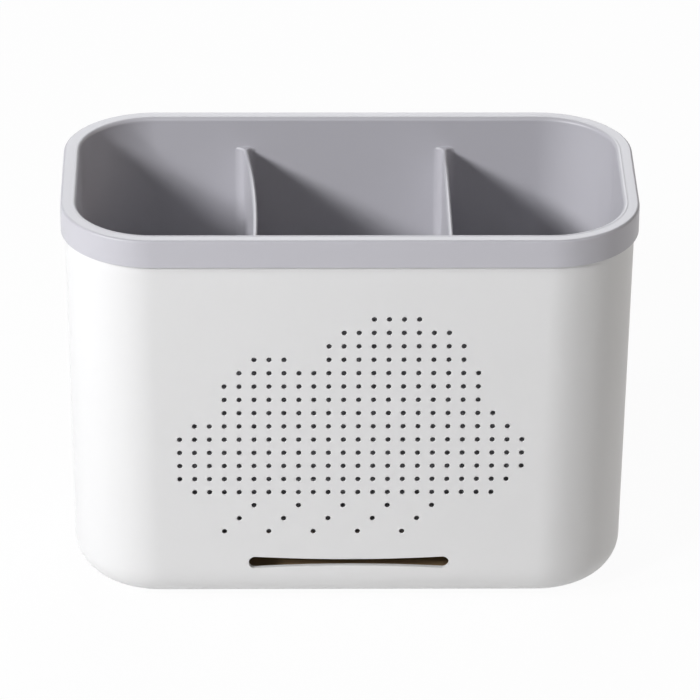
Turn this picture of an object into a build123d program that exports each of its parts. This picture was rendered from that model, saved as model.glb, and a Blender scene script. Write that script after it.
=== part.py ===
from build123d import *
from math import pi, sqrt
import os

os.makedirs("parts", exist_ok=True)

# A free-standing utensil drainer: a white oblong shell, a grey basket that hangs in it by its rim,
# a drip tray on the shell's floor and four pads underneath. Sizes are in millimetres.
# The origin is on the table under the middle of the box, +X along the length, -Y towards the front.

# Rim of the basket, the widest part of the object
rim_length = 215.0
rim_depth = 113.4
rim_corner = 34.3
rim_top_wall = 2.0
rim_outer_bevel = 0.9
rim_inner_bevel = 1.1
skirt_drop = 11.1
skirt_wall = 1.2
skirt_clearance = 0.3

# Outer shell
shell_height = 152.0
shell_draft = 2.1
shell_wall = 1.8
shell_floor = 2.4
shell_foot_round = 14.0
shell_foot_land = 0.4

# Hole pattern in the front wall: each row of the cloud gives its runs of holes, first to last column
hole_diameter = 1.8
column_pitch = 5.55
row_pitch = 5.62
pattern_offset = -2.4
cloud_top = 121.9
cloud_rows = (
    ((2, 5),),
    ((0, 7),),
    ((-1, 8),),
    ((-6, -4), (-1, 8)),
    ((-7, 9),),
    ((-8, 9),),
    ((-8, 9),),
    ((-8, 10),),
    ((-10, 11),),
    ((-11, 12),),
    ((-11, 12),),
    ((-11, 12),),
    ((-11, 11),),
    ((-10, 10),),
)

# Streaks of rain under the cloud, each slanting one column to the left per row
rain_streaks = 5
rain_spacing = 3
rain_length = 3
rain_first_column = -6

# Low air slot in the front wall, just above the round along the foot, narrower in its middle
slot_length = 75.5
slot_end_height = 4.8
slot_middle_height = 2.7
slot_margin = 0.5

# Basket, one moulding with two dividers
basket_gap = 0.6
basket_wall = 2.1
basket_draft = 4.0
basket_floor = 2.0
basket_bottom_height = 28.0
basket_floor_bevel = 2.5
divider_offset = 37.5
divider_drop = 12.0
divider_top_wall = 1.7
divider_base_wall = 2.5
divider_fillet = 3.6
drain_slot_width = 3.0
drain_slot_length = 46.0
drain_slot_pitch = 10.5
drain_slots = 5

# Drip tray on the floor of the shell
tray_gap = 0.8
tray_wall = 1.5
tray_floor = 1.5
tray_height = 22.0

# Pads in recesses under the corners
foot_diameter = 12.0
foot_sides = 16
foot_thickness = 2.0
foot_recess = 1.0
foot_seat_clearance = 0.1
foot_margin = 8.0

# Heights counted from the table
shell_base = foot_thickness - foot_recess
shell_top = shell_base + shell_height
rim_top = shell_top + rim_top_wall
skirt_bottom = rim_top - skirt_drop
floor_top = shell_base + shell_floor
tray_top = floor_top + tray_height
pocket_floor = basket_bottom_height + basket_floor
divider_top = rim_top - divider_drop
draft_start = shell_base + shell_foot_round + shell_foot_land
slot_height = draft_start + slot_margin + slot_end_height / 2

# Steps inwards from the rim's outline to each wall at its top edge, and at the foot of the shell
shell_step = skirt_wall + skirt_clearance
basket_step = shell_step + shell_wall + basket_gap
pocket_step = basket_step + basket_wall
foot_step = shell_step + shell_draft
shell_inner_bevel = shell_foot_round - 2 * shell_floor
divider_shoulder = divider_top - divider_top_wall / 2


def oblong(step, corner_step):
    """The rim's outline moved inwards. Its corners are those of the outline at corner_step."""
    return RectangleRounded(rim_length - 2 * step, rim_depth - 2 * step, rim_corner - corner_step)


def stack(corner_step, *levels):
    """Solid through oblong outlines, given from the bottom up as height and step inwards."""
    return loft([Pos(0, 0, height) * oblong(step, corner_step) for height, step in levels], ruled=True)


def lowest_edges(shape):
    return shape.edges().group_by(Axis.Z)[0]


def through_front_wall(profile):
    """A profile drawn on the front plane, pushed back through the front wall alone."""
    depth = foot_step + shell_wall + shell_floor
    return extrude(Plane.XZ.offset(rim_depth / 2) * profile, amount=depth, dir=(0, 1, 0))


def cloud_positions():
    for row, runs in enumerate(cloud_rows):
        for first, last in runs:
            for column in range(first, last + 1):
                yield column, row


def rain_positions():
    for streak in range(rain_streaks):
        for step in range(rain_length):
            yield rain_first_column + rain_spacing * streak - step, len(cloud_rows) + step


def hole_pattern():
    """The holes of cloud and rain. There are so many that each is a square as large as the round hole."""
    hole_side = hole_diameter * sqrt(pi) / 2
    hole = Rectangle(hole_side, hole_side)
    return [
        Pos(pattern_offset + column * column_pitch, cloud_top - row * row_pitch) * hole
        for column, row in (*cloud_positions(), *rain_positions())
    ]


def air_slot():
    """Slot with half-round ends and long edges that bow in towards its middle."""
    end = slot_end_height / 2
    waist = slot_middle_height / 2
    straight = slot_length / 2 - end
    edges = [
        ThreePointArc((-straight, end), (0, waist), (straight, end)),
        ThreePointArc((straight, end), (straight + end, 0), (straight, -end)),
        ThreePointArc((straight, -end), (0, -waist), (-straight, -end)),
        ThreePointArc((-straight, -end), (-straight - end, 0), (-straight, end)),
    ]
    return Pos(0, slot_height) * make_face(edges)


def foot_places():
    """Middles of the four pads, inside the flat of the underside."""
    reach = foot_step + shell_foot_round + foot_margin + foot_diameter / 2
    x = rim_length / 2 - reach
    y = rim_depth / 2 - reach
    return {
        "foot_front_left": (-x, -y),
        "foot_front_right": (x, -y),
        "foot_back_left": (-x, y),
        "foot_back_right": (x, y),
    }


def disc(radius, height):
    return extrude(RegularPolygon(radius, foot_sides), amount=height)


def foot():
    """Round soft pad, half sunk in its recess."""
    return disc(foot_diameter / 2, foot_thickness)


def outer_shell():
    """White box with drafted walls, a large round along its foot, drain holes and an air slot."""
    walls = stack(shell_step, (draft_start, foot_step), (shell_top, shell_step))
    foot_block = stack(shell_step, (shell_base, foot_step), (draft_start, foot_step))
    outside = walls + fillet(lowest_edges(foot_block), shell_foot_round)
    inside = stack(
        shell_step + shell_wall,
        (floor_top, foot_step + shell_wall + shell_inner_bevel),
        (floor_top + shell_inner_bevel, foot_step + shell_wall),
        (shell_top, shell_step + shell_wall),
    )
    recess = disc(foot_diameter / 2 + foot_seat_clearance, foot_recess)
    recesses = [Pos(x, y, shell_base) * recess for x, y in foot_places().values()]
    openings = [through_front_wall(profile) for profile in (air_slot(), *hole_pattern())]
    return outside - inside - recesses - openings


def basket_draft_at(height):
    """How far the basket's walls have come in below the rim."""
    return basket_draft * (rim_top - height) / (rim_top - basket_bottom_height)


def pocket_outline(side, height, inset):
    """Plan of one compartment, -1 left, 0 middle, 1 right, with soft corners beside the dividers."""
    slope = (divider_base_wall - divider_top_wall) / (divider_shoulder - pocket_floor)
    half_wall = (divider_top_wall + slope * (divider_shoulder - height)) / 2 + inset
    if side == 0:
        edge = divider_offset - half_wall
        strip = Rectangle(2 * edge, rim_depth)
    else:
        edge = divider_offset + half_wall
        strip = Pos(side * (edge + rim_length / 2), 0) * Rectangle(rim_length, rim_depth)
    outline = oblong(pocket_step + basket_draft_at(height) + inset, pocket_step) & strip
    corners = outline.vertices().filter_by(lambda corner: abs(abs(corner.X) - edge) < 0.01)
    return Pos(0, 0, height) * fillet(corners, divider_fillet)


def pocket(side):
    """One compartment, bevelled around its floor and as high as the dividers' shoulders."""
    bevel_top = pocket_floor + basket_floor_bevel
    outlines = [
        pocket_outline(side, pocket_floor, basket_floor_bevel),
        pocket_outline(side, bevel_top, 0),
        pocket_outline(side, divider_shoulder, 0),
    ]
    return loft(outlines, ruled=True)


def divider_crest():
    """The full round along the top of a divider, as a bar across the basket."""
    crest = divider_top_wall / 2
    bar = Plane.XZ * (Pos(0, divider_shoulder) * Circle(crest))
    return extrude(bar, amount=rim_depth / 2, both=True)


def mouth():
    """The open top of the basket, above the dividers, with a bevelled lip."""
    block = stack(
        pocket_step,
        (divider_shoulder, pocket_step + basket_draft_at(divider_shoulder)),
        (rim_top - rim_inner_bevel, pocket_step + basket_draft_at(rim_top - rim_inner_bevel)),
        (rim_top, pocket_step - rim_inner_bevel),
    )
    return block - [Pos(side * divider_offset, 0, 0) * divider_crest() for side in (-1, 1)]


def drain_pattern():
    """Rows of long slots with cut corners, one set in the floor of each compartment."""
    slot = Rectangle(drain_slot_width, drain_slot_length)
    slot = chamfer(slot.vertices(), drain_slot_width / 4)
    floor_end = rim_length / 2 - pocket_step - basket_draft
    outer_middle = (divider_offset + floor_end) / 2
    first = -(drain_slots - 1) / 2 * drain_slot_pitch
    return [
        Pos(middle + first + index * drain_slot_pitch, 0) * slot
        for middle in (-outer_middle, 0, outer_middle)
        for index in range(drain_slots)
    ]


def inner_basket():
    """Grey liner: rim with a skirt over the shell's edge, drafted walls, dividers and a drain floor."""
    body = stack(
        basket_step,
        (basket_bottom_height, basket_step + basket_draft + basket_floor_bevel),
        (basket_bottom_height + basket_floor_bevel, basket_step + basket_draft_at(basket_bottom_height)),
        (shell_top, basket_step + basket_draft_at(shell_top)),
    )
    rim = stack(0, (skirt_bottom, 0), (rim_top - rim_outer_bevel, 0), (rim_top, rim_outer_bevel))
    rim -= stack(skirt_wall, (skirt_bottom, skirt_wall), (shell_top, skirt_wall))
    drains = [
        extrude(Plane.XY.offset(basket_bottom_height) * drain, amount=basket_floor) for drain in drain_pattern()
    ]
    return body + rim - mouth() - [pocket(side) for side in (-1, 0, 1)] - drains


def drip_tray():
    """Shallow upright tray that fills the flat of the shell's floor."""
    step = foot_step + shell_wall + shell_inner_bevel + tray_gap
    corner_step = shell_step + shell_wall + tray_gap
    outside = stack(corner_step, (floor_top, step), (tray_top, step))
    inside = stack(
        corner_step + tray_wall, (floor_top + tray_floor, step + tray_wall), (tray_top, step + tray_wall)
    )
    return outside - inside


def write(name, shape):
    export_step(shape, f"parts/{name}.step")


write("outer_shell", outer_shell())
write("inner_basket", inner_basket())
write("drip_tray", drip_tray())
for name, (x, y) in foot_places().items():
    write(name, Pos(x, y, 0) * foot())
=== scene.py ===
from math import cos, hypot, pi, radians, sin

import bmesh
import bpy
from mathutils import Matrix, Quaternion, Vector


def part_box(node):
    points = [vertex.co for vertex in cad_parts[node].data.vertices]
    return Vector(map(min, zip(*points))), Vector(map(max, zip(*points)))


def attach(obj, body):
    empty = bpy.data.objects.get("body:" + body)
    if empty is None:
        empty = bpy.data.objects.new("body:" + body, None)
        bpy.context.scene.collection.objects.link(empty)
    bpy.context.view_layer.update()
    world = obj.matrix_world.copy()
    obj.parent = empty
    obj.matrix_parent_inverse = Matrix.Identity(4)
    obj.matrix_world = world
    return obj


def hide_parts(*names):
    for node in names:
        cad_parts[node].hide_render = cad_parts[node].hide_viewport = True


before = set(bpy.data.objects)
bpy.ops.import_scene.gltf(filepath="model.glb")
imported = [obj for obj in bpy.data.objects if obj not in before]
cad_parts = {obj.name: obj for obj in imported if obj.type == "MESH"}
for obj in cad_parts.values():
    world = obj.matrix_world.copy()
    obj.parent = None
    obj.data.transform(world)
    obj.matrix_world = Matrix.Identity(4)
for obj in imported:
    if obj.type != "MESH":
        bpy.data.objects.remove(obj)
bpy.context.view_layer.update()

# All lengths are in metres. MM turns a size in millimetres into metres.
MM = 0.001

# Places closer than NEAR count as one, and points closer than MERGE are merged in a finished piece.
# A face looks in a direction when the cosine between the two is over FACING.
NEAR = 0.02 * MM
MERGE = 0.002 * MM
FACING = 0.99

# Edges that turn by more than SHARP_TURN stay sharp. At the neutral weight of 50 each face counts
# in the shading by its area.
SHARP_TURN = radians(32)
SHADING_WEIGHT = 50

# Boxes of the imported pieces
SHELL_LOW, SHELL_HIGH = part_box("outer_shell")
BASKET_LOW, BASKET_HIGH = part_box("inner_basket")
TRAY_LOW, TRAY_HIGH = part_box("drip_tray")

# Outline that all the mouldings share: the rim's corner, and how smoothly corners are turned
RIM_CORNER = 34.3 * MM
CORNER_STEPS = 18

# Signs of the two directions in the four quarters of an outline
QUARTERS = ((-1, -1), (1, -1), (1, 1), (-1, 1))

# White box. Here and below, the steps of a round are the faces across it.
SHELL_WALL = 1.8 * MM
SHELL_FLOOR = 2.4 * MM
SHELL_DRAFT = 2.1 * MM
SHELL_FOOT_ROUND = 14.0 * MM
SHELL_FOOT_LAND = 0.4 * MM
SHELL_INNER_ROUND = 9.2 * MM
SHELL_LIP = 0.4 * MM
SHELL_FOOT_STEPS = 12
SHELL_INNER_STEPS = 8
SHELL_LIP_STEPS = 2
DRAFT_START = SHELL_LOW.z + SHELL_FOOT_ROUND + SHELL_FOOT_LAND

# Holes in the front wall. They widen inwards by HOLE_WIDENING, only so that they look dark enough.
HOLE_RADIUS = 0.95 * MM
HOLE_SIDES = 20
HOLE_FLARE = 0.14 * MM
HOLE_WIDENING = 2.0
PIN_LENGTH = SHELL_WALL * 1.2

# Hole pattern: each row of the cloud gives its runs of holes, first to last column
COLUMN_PITCH = 5.55 * MM
ROW_PITCH = 5.62 * MM
PATTERN_OFFSET = -2.4 * MM
CLOUD_TOP = 121.9 * MM
CLOUD_ROWS = (
    ((2, 5),),
    ((0, 7),),
    ((-1, 8),),
    ((-6, -4), (-1, 8)),
    ((-7, 9),),
    ((-8, 9),),
    ((-8, 9),),
    ((-8, 10),),
    ((-10, 11),),
    ((-11, 12),),
    ((-11, 12),),
    ((-11, 12),),
    ((-11, 11),),
    ((-10, 10),),
)

# Streaks of rain under the cloud, each slanting one column to the left per row
RAIN_STREAKS = 5
RAIN_SPACING = 3
RAIN_LENGTH = 3
RAIN_FIRST_COLUMN = -6

# Low air slot, narrower in its middle. Its tool starts in front of the wall, spread most there.
SLOT_LENGTH = 75.5 * MM
SLOT_END_HEIGHT = 4.8 * MM
SLOT_MIDDLE_HEIGHT = 2.7 * MM
SLOT_MARGIN = 0.5 * MM
SLOT_STATIONS = 14
SLOT_END_STEPS = 10
SLOT_FLARE = 0.3 * MM
SLOT_SPREAD = SLOT_FLARE * 3
SLOT_CLEARANCE = 1.0 * MM
SLOT_Z = DRAFT_START + SLOT_MARGIN + SLOT_END_HEIGHT / 2

# Grey basket: rim and skirt
RIM_WIDTH = 6.0 * MM
RIM_OUTER_ROUND = 1.0 * MM
RIM_OUTER_STEPS = 5
RIM_INNER_ROUND = 1.4 * MM
RIM_INNER_STEPS = 6
BEAD_WIDTH = 2.4 * MM
BEAD_RISE = 0.05 * MM
GROOVE_WIDTH = 0.45 * MM
GROOVE_DEPTH = 0.1 * MM
SKIRT_DROP = 11.1 * MM
SKIRT_WALL = 1.2 * MM
SKIRT_EDGE = 0.35 * MM
SKIRT_EDGE_STEPS = 2

# Grey basket: walls and floor
BASKET_WALL = 2.1 * MM
BASKET_DRAFT = 4.0 * MM
BASKET_FLOOR = 2.0 * MM
BASKET_FLOOR_ROUND = 2.5 * MM
BASKET_FLOOR_STEPS = 5

# Grey basket: dividers. They start inside the floor, and their stations keep clear of the fillets.
DIVIDER_OFFSET = 37.5 * MM
DIVIDER_DROP = 12.0 * MM
DIVIDER_TOP_WALL = 1.7 * MM
DIVIDER_BASE_WALL = 2.5 * MM
DIVIDER_FILLET = 3.6 * MM
DIVIDER_FILLET_STEPS = 8
DIVIDER_STATIONS = 12
DIVIDER_CLEAR_SHARE = 0.99
DIVIDER_START = BASKET_FLOOR * 0.6
CREST_STEPS = 6
CREST_TURN = radians(84)
DIVIDER_SET_IN = 1.3 * MM
DIVIDER_FLANGE = 1.5 * MM

# Sideways lean and bow of the left divider's top
LEFT_BACK_LEAN = -1.4 * MM
LEFT_FRONT_LEAN = 1.1 * MM
LEFT_BOW = 2.3 * MM

# Drain slots. Their ends are a little short of a half circle, so that the two rounds don't meet.
DRAIN_WIDTH = 3.0 * MM
DRAIN_LENGTH = 46.0 * MM
DRAIN_PITCH = 10.5 * MM
DRAINS = 5
DRAIN_END_SHARE = 0.99
DRAIN_END_STEPS = 6

# Drip tray
TRAY_WALL = 1.5 * MM
TRAY_GAP = 0.8 * MM
TRAY_ROUND = 3.0 * MM
TRAY_ROUND_STEPS = 8
TRAY_LIP = 0.5 * MM
TRAY_LIP_STEPS = 3

# Pads
PAD_SIDES = 48
PAD_ROUND = 0.45 * MM
PAD_ROUND_STEPS = 4
PAD_DISH_BORDER = 1.2 * MM
PAD_DISH_DEPTH = 0.25 * MM
PAD_DISH_ROUND = 0.2 * MM
PAD_DISH_STEPS = 2
PAD_RECESS = 1.0 * MM
PAD_SEAT_GAP = 0.1 * MM
PADS = ("foot_front_left", "foot_front_right", "foot_back_left", "foot_back_right")


def middle(part):
    """Middle of a point, an edge or a face."""
    if isinstance(part, bmesh.types.BMVert):
        return part.co
    return sum((point.co for point in part.verts), Vector()) / len(part.verts)


def pick(piece, kind, test):
    """In edit mode, selects just the points, edges or faces that pass the test."""
    bpy.ops.mesh.select_mode(type=kind)
    bpy.ops.mesh.select_all(action="DESELECT")
    mesh = bmesh.from_edit_mesh(piece.data)
    for part in {"VERT": mesh.verts, "EDGE": mesh.edges, "FACE": mesh.faces}[kind]:
        if test(part):
            part.select_set(True)
    mesh.select_flush_mode()
    bmesh.update_edit_mesh(piece.data)


def pick_level(piece, height, side):
    """Selects the level faces at one height that look up (side 1) or down (side -1)."""
    pick(
        piece,
        "FACE",
        lambda face: face.normal.z * side > FACING and abs(middle(face).z - height) < NEAR,
    )


def pick_facing(piece, direction):
    """Selects the faces that look one way."""
    pick(piece, "FACE", lambda face: face.normal.dot(direction) > FACING)


def push(x=0.0, y=0.0, z=0.0):
    """Extrudes what is picked."""
    bpy.ops.mesh.extrude_region_move(TRANSFORM_OT_translate={"value": (x, y, z)})


def round_border(width, steps):
    """Rounds the edges around the picked faces."""
    bpy.ops.mesh.region_to_loop()
    bpy.ops.mesh.bevel(offset=width, segments=steps, affect="EDGES", clamp_overlap=False)


def draw_in(piece, distance):
    """Moves the picked ring towards the middle, as far along the length as along the depth."""
    mesh = bmesh.from_edit_mesh(piece.data)
    ring = {point.index for point in mesh.verts if point.select}
    for side_x, side_y in QUARTERS:
        pick(
            piece,
            "VERT",
            lambda p: p.index in ring and p.co.x * side_x > 0 and p.co.y * side_y > 0,
        )
        bpy.ops.transform.translate(value=(-side_x * distance, -side_y * distance, 0))
    pick(piece, "VERT", lambda p: p.index in ring)
    bpy.ops.mesh.select_mode(type="FACE")


def settle(name):
    """Names a new primitive, settles its place into its mesh and opens it for editing."""
    piece = bpy.context.active_object
    piece.name = piece.data.name = name
    bpy.ops.object.transform_apply(location=True, rotation=True, scale=True)
    bpy.ops.object.mode_set(mode="EDIT")
    return piece


def new_block(name, low, high):
    """A box from one corner to the other, open for editing."""
    bpy.ops.object.select_all(action="DESELECT")
    low, high = Vector(low), Vector(high)
    bpy.ops.mesh.primitive_cube_add(size=2, location=(low + high) / 2, scale=(high - low) / 2)
    return settle(name)


def new_rod(name, radius, sides, start, length, along_y=False):
    """A round rod from its start, upwards or along +Y, open for editing."""
    bpy.ops.object.select_all(action="DESELECT")
    start = Vector(start)
    turn = (-pi / 2, 0, 0) if along_y else (0, 0, 0)
    centre = start + Vector((0, length / 2, 0) if along_y else (0, 0, length / 2))
    bpy.ops.mesh.primitive_cylinder_add(
        vertices=sides, radius=radius, depth=length, location=centre, rotation=turn
    )
    return settle(name)


def new_oblong(name, half_x, half_y, low, high, corner):
    """A block with rounded upright corners, open for editing."""
    piece = new_block(name, (-half_x, -half_y, low), (half_x, half_y, high))
    pick(piece, "EDGE", lambda edge: abs(edge.verts[0].co.z - edge.verts[1].co.z) > NEAR)
    bpy.ops.mesh.bevel(offset=corner, segments=CORNER_STEPS, affect="EDGES", clamp_overlap=False)
    return piece


def close_up():
    """Ends the editing of a piece."""
    bpy.ops.object.mode_set(mode="OBJECT")


def alone(piece):
    """Selects one piece and makes it the active one."""
    bpy.ops.object.select_all(action="DESELECT")
    piece.select_set(True)
    bpy.context.view_layer.objects.active = piece


def joined(name, parts):
    """Several objects as one."""
    bpy.ops.object.select_all(action="DESELECT")
    for part in parts:
        part.select_set(True)
    bpy.context.view_layer.objects.active = parts[0]
    if len(parts) > 1:
        bpy.ops.object.join()
    whole = bpy.context.active_object
    whole.name = whole.data.name = name
    return whole


def copy_at(piece, place):
    """A copy with its own mesh, moved to its place."""
    twin = piece.copy()
    twin.data = piece.data.copy()
    twin.data.transform(Matrix.Translation(place))
    bpy.context.scene.collection.objects.link(twin)
    return twin


def boolean(piece, tool, operation):
    """Cuts the tool out of the piece, or joins it on, and clears the tool away."""
    alone(piece)
    step = piece.modifiers.new(operation.lower(), "BOOLEAN")
    step.operation = operation
    step.solver = "MANIFOLD"
    step.object = tool
    bpy.ops.object.modifier_apply(modifier=step.name)
    bpy.data.objects.remove(tool)


def smooth(piece):
    """Merges doubles, turns the faces outwards and shades them smoothly, with large walls flat
    right up to their rounded edges."""
    alone(piece)
    bpy.ops.object.mode_set(mode="EDIT")
    bpy.ops.mesh.select_all(action="SELECT")
    bpy.ops.mesh.remove_doubles(threshold=MERGE)
    bpy.ops.mesh.normals_make_consistent(inside=False)
    close_up()
    bpy.ops.object.shade_smooth_by_angle(angle=SHARP_TURN)
    step = piece.modifiers.new("even_normals", "WEIGHTED_NORMAL")
    step.keep_sharp = True
    step.weight = SHADING_WEIGHT
    bpy.ops.object.modifier_apply(modifier=step.name)


def in_front(height):
    """Where the outside of the box's front wall stands at one height."""
    share = (SHELL_HIGH.z - height) / (SHELL_HIGH.z - DRAFT_START)
    return SHELL_LOW.y + SHELL_DRAFT * share


def hole_places():
    """Middles of the cloud's and the rain's holes, on the outside of the front wall."""
    cells = [
        (column, row)
        for row, runs in enumerate(CLOUD_ROWS)
        for first, last in runs
        for column in range(first, last + 1)
    ]
    cells += [
        (RAIN_FIRST_COLUMN + RAIN_SPACING * streak - step, len(CLOUD_ROWS) + step)
        for streak in range(RAIN_STREAKS)
        for step in range(RAIN_LENGTH)
    ]
    for column, row in cells:
        height = CLOUD_TOP - row * ROW_PITCH
        yield Vector((PATTERN_OFFSET + column * COLUMN_PITCH, in_front(height), height))


def hole_pins():
    """Round pins that widen inwards and have a flared head, which leaves a soft outer edge."""
    pin = new_rod("pin", HOLE_RADIUS, HOLE_SIDES, (0, HOLE_FLARE, 0), PIN_LENGTH, along_y=True)
    pick_facing(pin, Vector((0, 1, 0)))
    bpy.ops.transform.resize(value=(HOLE_WIDENING, 1, HOLE_WIDENING), center_override=(0, 0, 0))
    pick_facing(pin, Vector((0, -1, 0)))
    push(y=-HOLE_FLARE * 2)
    flared = 1 + 2 * HOLE_FLARE / HOLE_RADIUS
    bpy.ops.transform.resize(value=(flared, 1, flared), center_override=(0, 0, 0))
    close_up()
    pins = [copy_at(pin, place) for place in hole_places()]
    bpy.data.objects.remove(pin)
    return joined("pins", pins)


def slot_tool():
    """Bar for the air slot: round ends, pinched towards its middle, flared towards the front."""
    half = SLOT_LENGTH / 2
    end = SLOT_END_HEIGHT / 2
    waist = SLOT_MIDDLE_HEIGHT / 2
    straight = half - end
    front = in_front(SLOT_Z) - SLOT_CLEARANCE
    back = in_front(SLOT_Z) + SHELL_WALL * 2
    bar = new_block("slot", (-half, front, SLOT_Z - end), (half, back, SLOT_Z + end))
    pick(bar, "EDGE", lambda edge: abs(edge.verts[0].co.y - edge.verts[1].co.y) > NEAR)
    bpy.ops.mesh.bevel(offset=end, segments=SLOT_END_STEPS, affect="EDGES", clamp_overlap=False)
    stations = [straight * (2 * index / SLOT_STATIONS - 1) for index in range(1, SLOT_STATIONS)]
    for x in stations:
        bpy.ops.mesh.select_all(action="SELECT")
        bpy.ops.mesh.bisect(plane_co=(x, 0, 0), plane_no=(1, 0, 0))
    for x in stations:
        height = (waist + (end - waist) * (x / straight) ** 2) / end
        pick(bar, "VERT", lambda p: abs(p.co.x - x) < NEAR)
        bpy.ops.transform.resize(value=(1, 1, height), center_override=(x, 0, SLOT_Z))
    bpy.ops.mesh.select_all(action="SELECT")
    bpy.ops.mesh.bisect(plane_co=(0, in_front(SLOT_Z) + SLOT_FLARE, 0), plane_no=(0, 1, 0))
    for side_x, side_z in QUARTERS:
        pick(
            bar,
            "VERT",
            lambda p: p.co.y < front + NEAR
            and p.co.x * side_x >= 0
            and (p.co.z - SLOT_Z) * side_z > 0,
        )
        bpy.ops.transform.translate(value=(0, 0, side_z * SLOT_SPREAD))
    close_up()
    return bar


def pad_recesses():
    """Discs that sink the pads' seats into the underside."""
    discs = []
    for node in PADS:
        low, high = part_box(node)
        centre = (low + high) / 2
        radius = (high.x - low.x) / 2 + PAD_SEAT_GAP
        start = (centre.x, centre.y, SHELL_LOW.z - PAD_RECESS)
        discs.append(new_rod("seat", radius, PAD_SIDES, start, 2 * PAD_RECESS))
        close_up()
    return discs


def white_box():
    """Drafted box, hollowed from above, with a large round along its foot."""
    corner = RIM_CORNER - (BASKET_HIGH.x - SHELL_HIGH.x)
    half_x, half_y = SHELL_HIGH.x, SHELL_HIGH.y
    box = new_oblong("white_box", half_x, half_y, DRAFT_START, SHELL_HIGH.z, corner)
    pick_level(box, DRAFT_START, -1)
    draw_in(box, SHELL_DRAFT)
    push(z=SHELL_LOW.z - DRAFT_START)
    round_border(SHELL_FOOT_ROUND, SHELL_FOOT_STEPS)
    pick_level(box, SHELL_HIGH.z, 1)
    round_border(SHELL_LIP, SHELL_LIP_STEPS)
    pick_level(box, SHELL_HIGH.z, 1)
    bpy.ops.mesh.inset(thickness=SHELL_WALL - 2 * SHELL_LIP)
    bpy.ops.mesh.inset(thickness=SHELL_LIP)
    bpy.ops.transform.translate(value=(0, 0, -SHELL_LIP))
    push(z=DRAFT_START + SHELL_LIP - SHELL_HIGH.z)
    draw_in(box, SHELL_DRAFT)
    push(z=SHELL_LOW.z + SHELL_FLOOR - DRAFT_START)
    round_border(SHELL_INNER_ROUND, SHELL_INNER_STEPS)
    close_up()
    boolean(box, joined("openings", [hole_pins(), slot_tool(), *pad_recesses()]), "DIFFERENCE")
    smooth(box)
    return box


def basket_wall_y(height):
    """Where the inside of the basket's back wall stands at one height."""
    drafted = BASKET_DRAFT * (BASKET_HIGH.z - height) / (BASKET_HIGH.z - BASKET_LOW.z)
    return BASKET_HIGH.y - RIM_WIDTH - drafted


def divider(place, back_lean=0.0, front_lean=0.0, bow=0.0):
    """Thin wall across the basket that flares into the walls at its ends and has a round crest.
    Its top leans and bows sideways by the amounts given."""
    half = DIVIDER_TOP_WALL / 2
    top = BASKET_HIGH.z - DIVIDER_DROP - half
    low = BASKET_LOW.z + DIVIDER_START
    reach = basket_wall_y(top) + NEAR
    web = new_block("divider", (-half, -reach, low), (half, reach, top))
    for side in (-1, 1):
        pick_facing(web, Vector((0, side, 0)))
        push(y=side * DIVIDER_SET_IN)
    for side in (-1, 1):
        pick(web, "FACE", lambda f: f.normal.x * side > FACING and abs(middle(f).y) > reach)
        push(x=side * (DIVIDER_FILLET + DIVIDER_FLANGE))
    pick(
        web,
        "EDGE",
        lambda e: abs(e.verts[0].co.z - e.verts[1].co.z) > NEAR
        and abs(abs(middle(e).x) - half) < NEAR
        and abs(abs(middle(e).y) - reach) < NEAR,
    )
    bpy.ops.mesh.bevel(
        offset=DIVIDER_FILLET, segments=DIVIDER_FILLET_STEPS, affect="EDGES", clamp_overlap=False
    )
    pick_level(web, top, 1)
    bpy.ops.mesh.dissolve_faces()
    for step in range(CREST_STEPS):
        start, end = (CREST_TURN * (step + share) / CREST_STEPS for share in (0, 1))
        inwards = half * (cos(start) - cos(end))
        upwards = half * (sin(end) - sin(start))
        bpy.ops.mesh.inset(thickness=inwards, depth=upwards)
    clear = reach - DIVIDER_FILLET
    for station in range(DIVIDER_STATIONS):
        y = clear * (2 * station / (DIVIDER_STATIONS - 1) - 1) * DIVIDER_CLEAR_SHARE
        bpy.ops.mesh.select_all(action="SELECT")
        bpy.ops.mesh.bisect(plane_co=(0, y, 0), plane_no=(0, 1, 0))
    for side in (-1, 1):
        pick(web, "VERT", lambda p: p.co.z < low + NEAR and p.co.y * side > 0)
        drawn_in = basket_wall_y(low) - basket_wall_y(top)
        bpy.ops.transform.translate(value=(0, side * drawn_in, 0))
        pick(web, "VERT", lambda p: p.co.z < low + NEAR and p.co.x * side > 0)
        thicker = DIVIDER_BASE_WALL - DIVIDER_TOP_WALL
        bpy.ops.transform.translate(value=(side * thicker / 2, 0, 0))
    mesh = bmesh.from_edit_mesh(web.data)
    for point in mesh.verts:
        share = max(-1, min(1, point.co.y / reach))
        lean = (back_lean + front_lean) / 2 + (back_lean - front_lean) / 2 * share
        if point.co.z > low + NEAR:
            point.co.x += lean + bow * (1 - share**2)
        point.co.x += place
    bmesh.update_edit_mesh(web.data)
    bpy.ops.mesh.select_all(action="SELECT")
    bpy.ops.mesh.quads_convert_to_tris()
    close_up()
    return web


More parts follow.
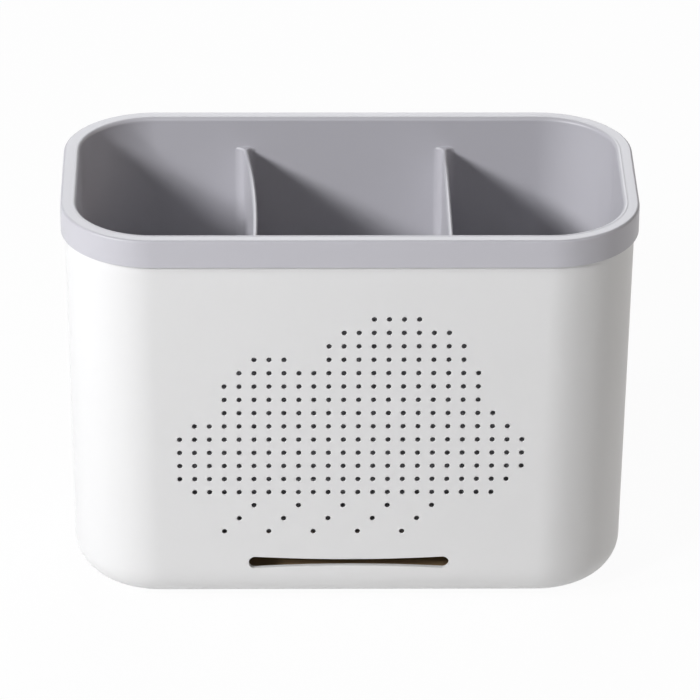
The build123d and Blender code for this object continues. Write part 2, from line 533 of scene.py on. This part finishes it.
def drain_tools():
    """Round-ended bars for the drain slots, one row of them in each compartment."""
    low = BASKET_LOW.z - BASKET_FLOOR
    high = BASKET_LOW.z + BASKET_FLOOR * 2
    half_x, half_y = DRAIN_WIDTH / 2, DRAIN_LENGTH / 2
    bar = new_block("drain", (-half_x, -half_y, low), (half_x, half_y, high))
    pick(bar, "EDGE", lambda edge: abs(edge.verts[0].co.z - edge.verts[1].co.z) > NEAR)
    end = half_x * DRAIN_END_SHARE
    bpy.ops.mesh.bevel(offset=end, segments=DRAIN_END_STEPS, affect="EDGES", clamp_overlap=False)
    close_up()
    floor_end = BASKET_HIGH.x - RIM_WIDTH - BASKET_DRAFT
    outer = (DIVIDER_OFFSET + floor_end) / 2
    first = -(DRAINS - 1) / 2 * DRAIN_PITCH
    bars = [
        copy_at(bar, (centre + first + index * DRAIN_PITCH, 0, 0))
        for centre in (-outer, 0, outer)
        for index in range(DRAINS)
    ]
    bpy.data.objects.remove(bar)
    return joined("drains", bars)


def grey_basket():
    """Liner that hangs by its rim: skirt outside, drafted walls, dividers and a slotted floor."""
    skirt_bottom = BASKET_HIGH.z - SKIRT_DROP
    rim_flat = BASKET_HIGH.z - BEAD_RISE
    half_x, half_y = BASKET_HIGH.x, BASKET_HIGH.y
    basket = new_oblong("grey_basket", half_x, half_y, skirt_bottom, rim_flat, RIM_CORNER)
    pick_level(basket, rim_flat, 1)
    round_border(RIM_OUTER_ROUND, RIM_OUTER_STEPS)
    pick_level(basket, rim_flat, 1)
    bpy.ops.mesh.inset(thickness=RIM_WIDTH - RIM_OUTER_ROUND - BEAD_WIDTH)
    bpy.ops.mesh.inset(thickness=GROOVE_WIDTH, depth=-GROOVE_DEPTH)
    bpy.ops.mesh.inset(thickness=GROOVE_WIDTH, depth=GROOVE_DEPTH + BEAD_RISE)
    bpy.ops.mesh.inset(thickness=BEAD_WIDTH - 2 * GROOVE_WIDTH)
    floor = BASKET_LOW.z + BASKET_FLOOR
    push(z=floor - BASKET_HIGH.z)
    draw_in(basket, BASKET_HIGH.y - RIM_WIDTH - basket_wall_y(floor))
    round_border(BASKET_FLOOR_ROUND, BASKET_FLOOR_STEPS)
    pick(basket, "EDGE", on_inner_lip)
    bpy.ops.mesh.bevel(
        offset=RIM_INNER_ROUND, segments=RIM_INNER_STEPS, affect="EDGES", clamp_overlap=False
    )
    pick_level(basket, skirt_bottom, -1)
    round_border(SKIRT_EDGE, SKIRT_EDGE_STEPS)
    pick_level(basket, skirt_bottom, -1)
    bpy.ops.mesh.inset(thickness=SKIRT_WALL - SKIRT_EDGE)
    push(z=SHELL_HIGH.z - skirt_bottom)
    bpy.ops.mesh.inset(thickness=RIM_WIDTH - BASKET_WALL - SKIRT_WALL)
    push(z=BASKET_LOW.z - SHELL_HIGH.z)
    draw_in(basket, basket_wall_y(SHELL_HIGH.z) - basket_wall_y(BASKET_LOW.z))
    round_border(BASKET_FLOOR_ROUND, BASKET_FLOOR_STEPS)
    close_up()
    left = divider(-DIVIDER_OFFSET, LEFT_BACK_LEAN, LEFT_FRONT_LEAN, LEFT_BOW)
    boolean(basket, left, "UNION")
    boolean(basket, divider(DIVIDER_OFFSET), "UNION")
    boolean(basket, drain_tools(), "DIFFERENCE")
    smooth(basket)
    return basket


def depth_inside(place):
    """How far a place lies inside the rim's outline, seen from above."""
    beyond_x = abs(place.x) - (BASKET_HIGH.x - RIM_CORNER)
    beyond_y = abs(place.y) - (BASKET_HIGH.y - RIM_CORNER)
    if beyond_x > 0 and beyond_y > 0:
        return RIM_CORNER - hypot(beyond_x, beyond_y)
    return RIM_CORNER - max(beyond_x, beyond_y)


def on_inner_lip(edge):
    """Whether both ends of an edge lie on the top of the rim's inner side."""
    return all(
        abs(p.co.z - BASKET_HIGH.z) < NEAR and abs(depth_inside(p.co) - RIM_WIDTH) < NEAR
        for p in edge.verts
    )


def tea_tray():
    """Shallow tray that fills the flat of the box's floor."""
    corner = RIM_CORNER - (BASKET_HIGH.x - SHELL_HIGH.x) - SHELL_WALL - TRAY_GAP
    half_x, half_y = TRAY_HIGH.x, TRAY_HIGH.y
    tray = new_oblong("tea_tray", half_x, half_y, TRAY_LOW.z, TRAY_HIGH.z, corner)
    pick_level(tray, TRAY_LOW.z, -1)
    round_border(TRAY_ROUND, TRAY_ROUND_STEPS)
    pick_level(tray, TRAY_HIGH.z, 1)
    round_border(TRAY_LIP, TRAY_LIP_STEPS)
    pick_level(tray, TRAY_HIGH.z, 1)
    bpy.ops.mesh.inset(thickness=TRAY_WALL - 2 * TRAY_LIP)
    bpy.ops.mesh.inset(thickness=TRAY_LIP)
    bpy.ops.transform.translate(value=(0, 0, -TRAY_LIP))
    push(z=TRAY_LOW.z + TRAY_WALL + TRAY_LIP - TRAY_HIGH.z)
    round_border(TRAY_ROUND - TRAY_WALL, TRAY_ROUND_STEPS)
    close_up()
    smooth(tray)
    return tray


def soft_pad(node):
    """Round pad with a softened rim and a shallow dish in its underside."""
    low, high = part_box(node)
    centre = (low + high) / 2
    radius = (high.x - low.x) / 2
    start = (centre.x, centre.y, low.z)
    pad = new_rod(node.replace("foot", "pad"), radius, PAD_SIDES, start, high.z - low.z)
    pick_level(pad, low.z, -1)
    round_border(PAD_ROUND, PAD_ROUND_STEPS)
    pick_level(pad, low.z, -1)
    bpy.ops.mesh.inset(thickness=PAD_DISH_BORDER)
    push(z=PAD_DISH_DEPTH)
    round_border(PAD_DISH_ROUND, PAD_DISH_STEPS)
    close_up()
    smooth(pad)
    return pad


# Skin of the mouldings: scales of its grain, its flow waves and its drift in colour and gloss, how
# finely they are drawn, how much the waves count beside the grain, and how strong the relief is.
# GRAIN_SCALE is what the group starts with, and each finish sets its own.
GRAIN_SCALE = 1800
WAVE_SCALE = 26
DRIFT_SCALE = 9
SKIN_DETAIL = 2
DRIFT_DETAIL = 3
DRIFT_ROUGHNESS = 0.55
WAVINESS = 0.25
RELIEF_STRENGTH = 0.5

# Finishes: the two colours between which each drifts, roughness, drift of the roughness, scale of
# the grain and height of the relief
PLASTICS = {
    "satin_white": ((0.75, 0.75, 0.745), (0.74, 0.74, 0.735), 0.42, 0.05, 2200, 0.006 * MM),
    "satin_grey": ((0.515, 0.51, 0.545), (0.505, 0.5, 0.535), 0.4, 0.05, 2000, 0.006 * MM),
    "tea_brown": ((0.42, 0.29, 0.165), (0.38, 0.265, 0.15), 0.3, 0.06, 1500, 0.004 * MM),
    "pad_rubber": ((0.03, 0.03, 0.032), (0.024, 0.024, 0.026), 0.75, 0.08, 3000, 0.01 * MM),
}


def new_group(name, inputs, outputs):
    """An empty shader group with named number inputs and the outputs given as (name, kind)."""
    group = bpy.data.node_groups.new(name, "ShaderNodeTree")
    for label, value in inputs:
        socket = group.interface.new_socket(label, in_out="INPUT", socket_type="NodeSocketFloat")
        socket.default_value = value
    for label, kind in outputs:
        group.interface.new_socket(label, in_out="OUTPUT", socket_type=kind)
    return group, group.nodes.new("NodeGroupInput"), group.nodes.new("NodeGroupOutput")


def noise(tree, scale, detail, roughness=0.5):
    """A noise texture."""
    node = tree.nodes.new("ShaderNodeTexNoise")
    node.inputs["Scale"].default_value = scale
    node.inputs["Detail"].default_value = detail
    node.inputs["Roughness"].default_value = roughness
    return node


def moulded_skin():
    """Skin of an injection moulding: a fine spark-eroded grain over shallow flow waves."""
    group, given, result = new_group(
        "moulded_skin",
        (("Grain Size", GRAIN_SCALE), ("Waviness", WAVINESS)),
        (("Height", "NodeSocketFloat"), ("Cloudiness", "NodeSocketFloat")),
    )
    links = group.links
    place = group.nodes.new("ShaderNodeTexCoord")
    grain = noise(group, GRAIN_SCALE, SKIN_DETAIL)
    waves = noise(group, WAVE_SCALE, SKIN_DETAIL)
    clouds = noise(group, DRIFT_SCALE, DRIFT_DETAIL, DRIFT_ROUGHNESS)
    links.new(given.outputs["Grain Size"], grain.inputs["Scale"])
    for texture in (grain, waves, clouds):
        links.new(place.outputs["Object"], texture.inputs["Vector"])
    mix = group.nodes.new("ShaderNodeMath")
    mix.operation = "MULTIPLY_ADD"
    links.new(waves.outputs["Fac"], mix.inputs[0])
    links.new(given.outputs["Waviness"], mix.inputs[1])
    links.new(grain.outputs["Fac"], mix.inputs[2])
    links.new(mix.outputs[0], result.inputs["Height"])
    links.new(clouds.outputs["Fac"], result.inputs["Cloudiness"])
    return group


def plastic(name, colour, deep, roughness, gloss_range, grain, bump, skin):
    """A moulded plastic whose colour and gloss drift a little across the piece."""
    material = bpy.data.materials.new(name)
    material.use_nodes = True
    tree = material.node_tree
    shader = tree.nodes["Principled BSDF"]
    surface = tree.nodes.new("ShaderNodeGroup")
    surface.node_tree = skin
    surface.inputs["Grain Size"].default_value = grain
    tint = tree.nodes.new("ShaderNodeMix")
    tint.data_type = "RGBA"
    tint.inputs["A"].default_value = (*deep, 1)
    tint.inputs["B"].default_value = (*colour, 1)
    gloss = tree.nodes.new("ShaderNodeMapRange")
    gloss.inputs["To Min"].default_value = roughness - gloss_range
    gloss.inputs["To Max"].default_value = roughness + gloss_range
    relief = tree.nodes.new("ShaderNodeBump")
    relief.inputs["Distance"].default_value = bump
    relief.inputs["Strength"].default_value = RELIEF_STRENGTH
    tree.links.new(surface.outputs["Cloudiness"], tint.inputs["Factor"])
    tree.links.new(surface.outputs["Cloudiness"], gloss.inputs["Value"])
    tree.links.new(surface.outputs["Height"], relief.inputs["Height"])
    tree.links.new(tint.outputs["Result"], shader.inputs["Base Color"])
    tree.links.new(gloss.outputs["Result"], shader.inputs["Roughness"])
    tree.links.new(relief.outputs["Normal"], shader.inputs["Normal"])
    return material


def dress(piece, material, body, slot, *nodes):
    """Gives a finished piece its material and the body it rides on, and hides the imported nodes it
    stands in for.
    """
    piece.data.materials.clear()
    piece.data.materials.append(material)
    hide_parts(*nodes)
    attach(piece, body)


def build_object():
    """The seven pieces, each in its finish."""
    skin = moulded_skin()
    white, grey, brown, rubber = (
        plastic(name, *finish, skin) for name, finish in PLASTICS.items()
    )
    dress(white_box(), white, "shell", "white_shell", "outer_shell")
    dress(grey_basket(), grey, "basket", "grey_basket", "inner_basket")
    dress(tea_tray(), brown, "tray", "tea_tray", "drip_tray")
    for node in PADS:
        dress(soft_pad(node), rubber, "shell", "soft_pad", node)


# Camera fitted to the photograph, its turns in radians, its lens and sensor in millimetres
CAMERA_TARGET = Vector((0.88, 0, 81.2)) * MM
CAMERA_DISTANCE = 2065.7 * MM
CAMERA_PITCH = 0.4744
CAMERA_YAW = -0.0209
CAMERA_ROLL = 0.0085
CAMERA_LENS = 278.97
CAMERA_SENSOR = 36
CAMERA_REACH = 50


def set_camera():
    """The camera, turned round its target."""
    data = bpy.data.cameras.new("camera")
    data.lens = CAMERA_LENS
    data.sensor_width = CAMERA_SENSOR
    data.clip_end = CAMERA_REACH
    camera = bpy.data.objects.new("camera", data)
    bpy.context.scene.collection.objects.link(camera)
    turn = Quaternion((0, 0, 1), CAMERA_YAW) @ Quaternion((1, 0, 0), pi / 2 - CAMERA_PITCH)
    camera.rotation_mode = "QUATERNION"
    camera.rotation_quaternion = turn @ Quaternion((0, 0, 1), CAMERA_ROLL)
    camera.location = CAMERA_TARGET + turn @ Vector((0, 0, CAMERA_DISTANCE))
    bpy.context.scene.camera = camera


# Studio lamps: degrees round from the front to the right, degrees up, size in metres, watts, colour
LAMPS = {
    "key_left": (-69, 30, 0.3, 17.5, (1, 1, 1.01)),
    "key_front": (-45, 27.5, 0.35, 27.5, (1, 1, 1.02)),
    "front_fill": (0, 35, 0.8, 2.2, (1, 0.99, 1)),
    "right_fill": (90, 30, 1.2, 5, (1.12, 0.99, 0.88)),
    "back_light": (180, 30, 1.2, 18, (0.98, 1, 1.02)),
}
LAMP_DISTANCE = 2.2
LAMP_TARGET = Vector((0, 0, 80 * MM))

# Light all round, and the floor. Where it is seen directly, a share of it is plain white.
AMBIENT = 0.05
FLOOR_SIZE = 12
FLOOR_COLOUR = (0.92, 0.92, 0.92, 1)
FLOOR_ROUGHNESS = 0.9
FLOOR_WHITE_SHARE = 0.95


def soft_light(name, round_degrees, up_degrees, size, watts, colour):
    """A square lamp in the direction given, turned towards the object."""
    data = bpy.data.lights.new(name, "AREA")
    data.shape = "SQUARE"
    data.size = size
    data.energy = watts
    data.color = colour
    lamp = bpy.data.objects.new(name, data)
    bpy.context.scene.collection.objects.link(lamp)
    turn, rise = radians(round_degrees), radians(up_degrees)
    away = Vector((sin(turn) * cos(rise), -cos(turn) * cos(rise), sin(rise)))
    lamp.location = LAMP_TARGET + away * LAMP_DISTANCE
    lamp.rotation_mode = "QUATERNION"
    lamp.rotation_quaternion = away.to_track_quat("Z", "Y")


def seen_directly(tree):
    """1 for rays from the camera, and for those that a gloss or glass sends on."""
    path = tree.nodes.new("ShaderNodeLightPath")
    total = path.outputs["Is Camera Ray"]
    for ray in ("Is Glossy Ray", "Is Transmission Ray"):
        add = tree.nodes.new("ShaderNodeMath")
        add.operation = "ADD"
        add.use_clamp = True
        tree.links.new(total, add.inputs[0])
        tree.links.new(path.outputs[ray], add.inputs[1])
        total = add.outputs[0]
    return total


def set_world(ambient):
    """Even soft light all round, in front of a white background."""
    world = bpy.data.worlds.new("studio")
    bpy.context.scene.world = world
    world.use_nodes = True
    tree = world.node_tree
    room = tree.nodes["Background"]
    room.inputs["Color"].default_value = (1, 1, 1, 1)
    room.inputs["Strength"].default_value = ambient
    paper = tree.nodes.new("ShaderNodeBackground")
    paper.inputs["Color"].default_value = (1, 1, 1, 1)
    paper.inputs["Strength"].default_value = 1
    mix = tree.nodes.new("ShaderNodeMixShader")
    tree.links.new(seen_directly(tree), mix.inputs["Fac"])
    tree.links.new(room.outputs[0], mix.inputs[1])
    tree.links.new(paper.outputs[0], mix.inputs[2])
    tree.links.new(mix.outputs[0], tree.nodes["World Output"].inputs["Surface"])


def set_floor(size, white_share):
    """White studio floor that shows a faint shadow."""
    bpy.ops.object.select_all(action="DESELECT")
    bpy.ops.mesh.primitive_plane_add(size=size)
    floor = bpy.context.active_object
    floor.name = floor.data.name = "studio_floor"
    material = bpy.data.materials.new("studio_paper")
    material.use_nodes = True
    tree = material.node_tree
    shader = tree.nodes["Principled BSDF"]
    shader.inputs["Base Color"].default_value = FLOOR_COLOUR
    shader.inputs["Roughness"].default_value = FLOOR_ROUGHNESS
    glow = tree.nodes.new("ShaderNodeEmission")
    glow.inputs["Strength"].default_value = 1
    share = tree.nodes.new("ShaderNodeMath")
    share.operation = "MULTIPLY"
    share.inputs[1].default_value = white_share
    mix = tree.nodes.new("ShaderNodeMixShader")
    tree.links.new(seen_directly(tree), share.inputs[0])
    tree.links.new(share.outputs[0], mix.inputs["Fac"])
    tree.links.new(shader.outputs[0], mix.inputs[1])
    tree.links.new(glow.outputs[0], mix.inputs[2])
    tree.links.new(mix.outputs[0], tree.nodes["Material Output"].inputs["Surface"])
    floor.data.materials.append(material)


def set_studio():
    """World, floor and lamps."""
    bpy.context.scene.view_settings.view_transform = "Standard"
    set_world(AMBIENT)
    set_floor(FLOOR_SIZE, FLOOR_WHITE_SHARE)
    for name, lamp in LAMPS.items():
        soft_light(name, *lamp)


build_object()
set_camera()
set_studio()
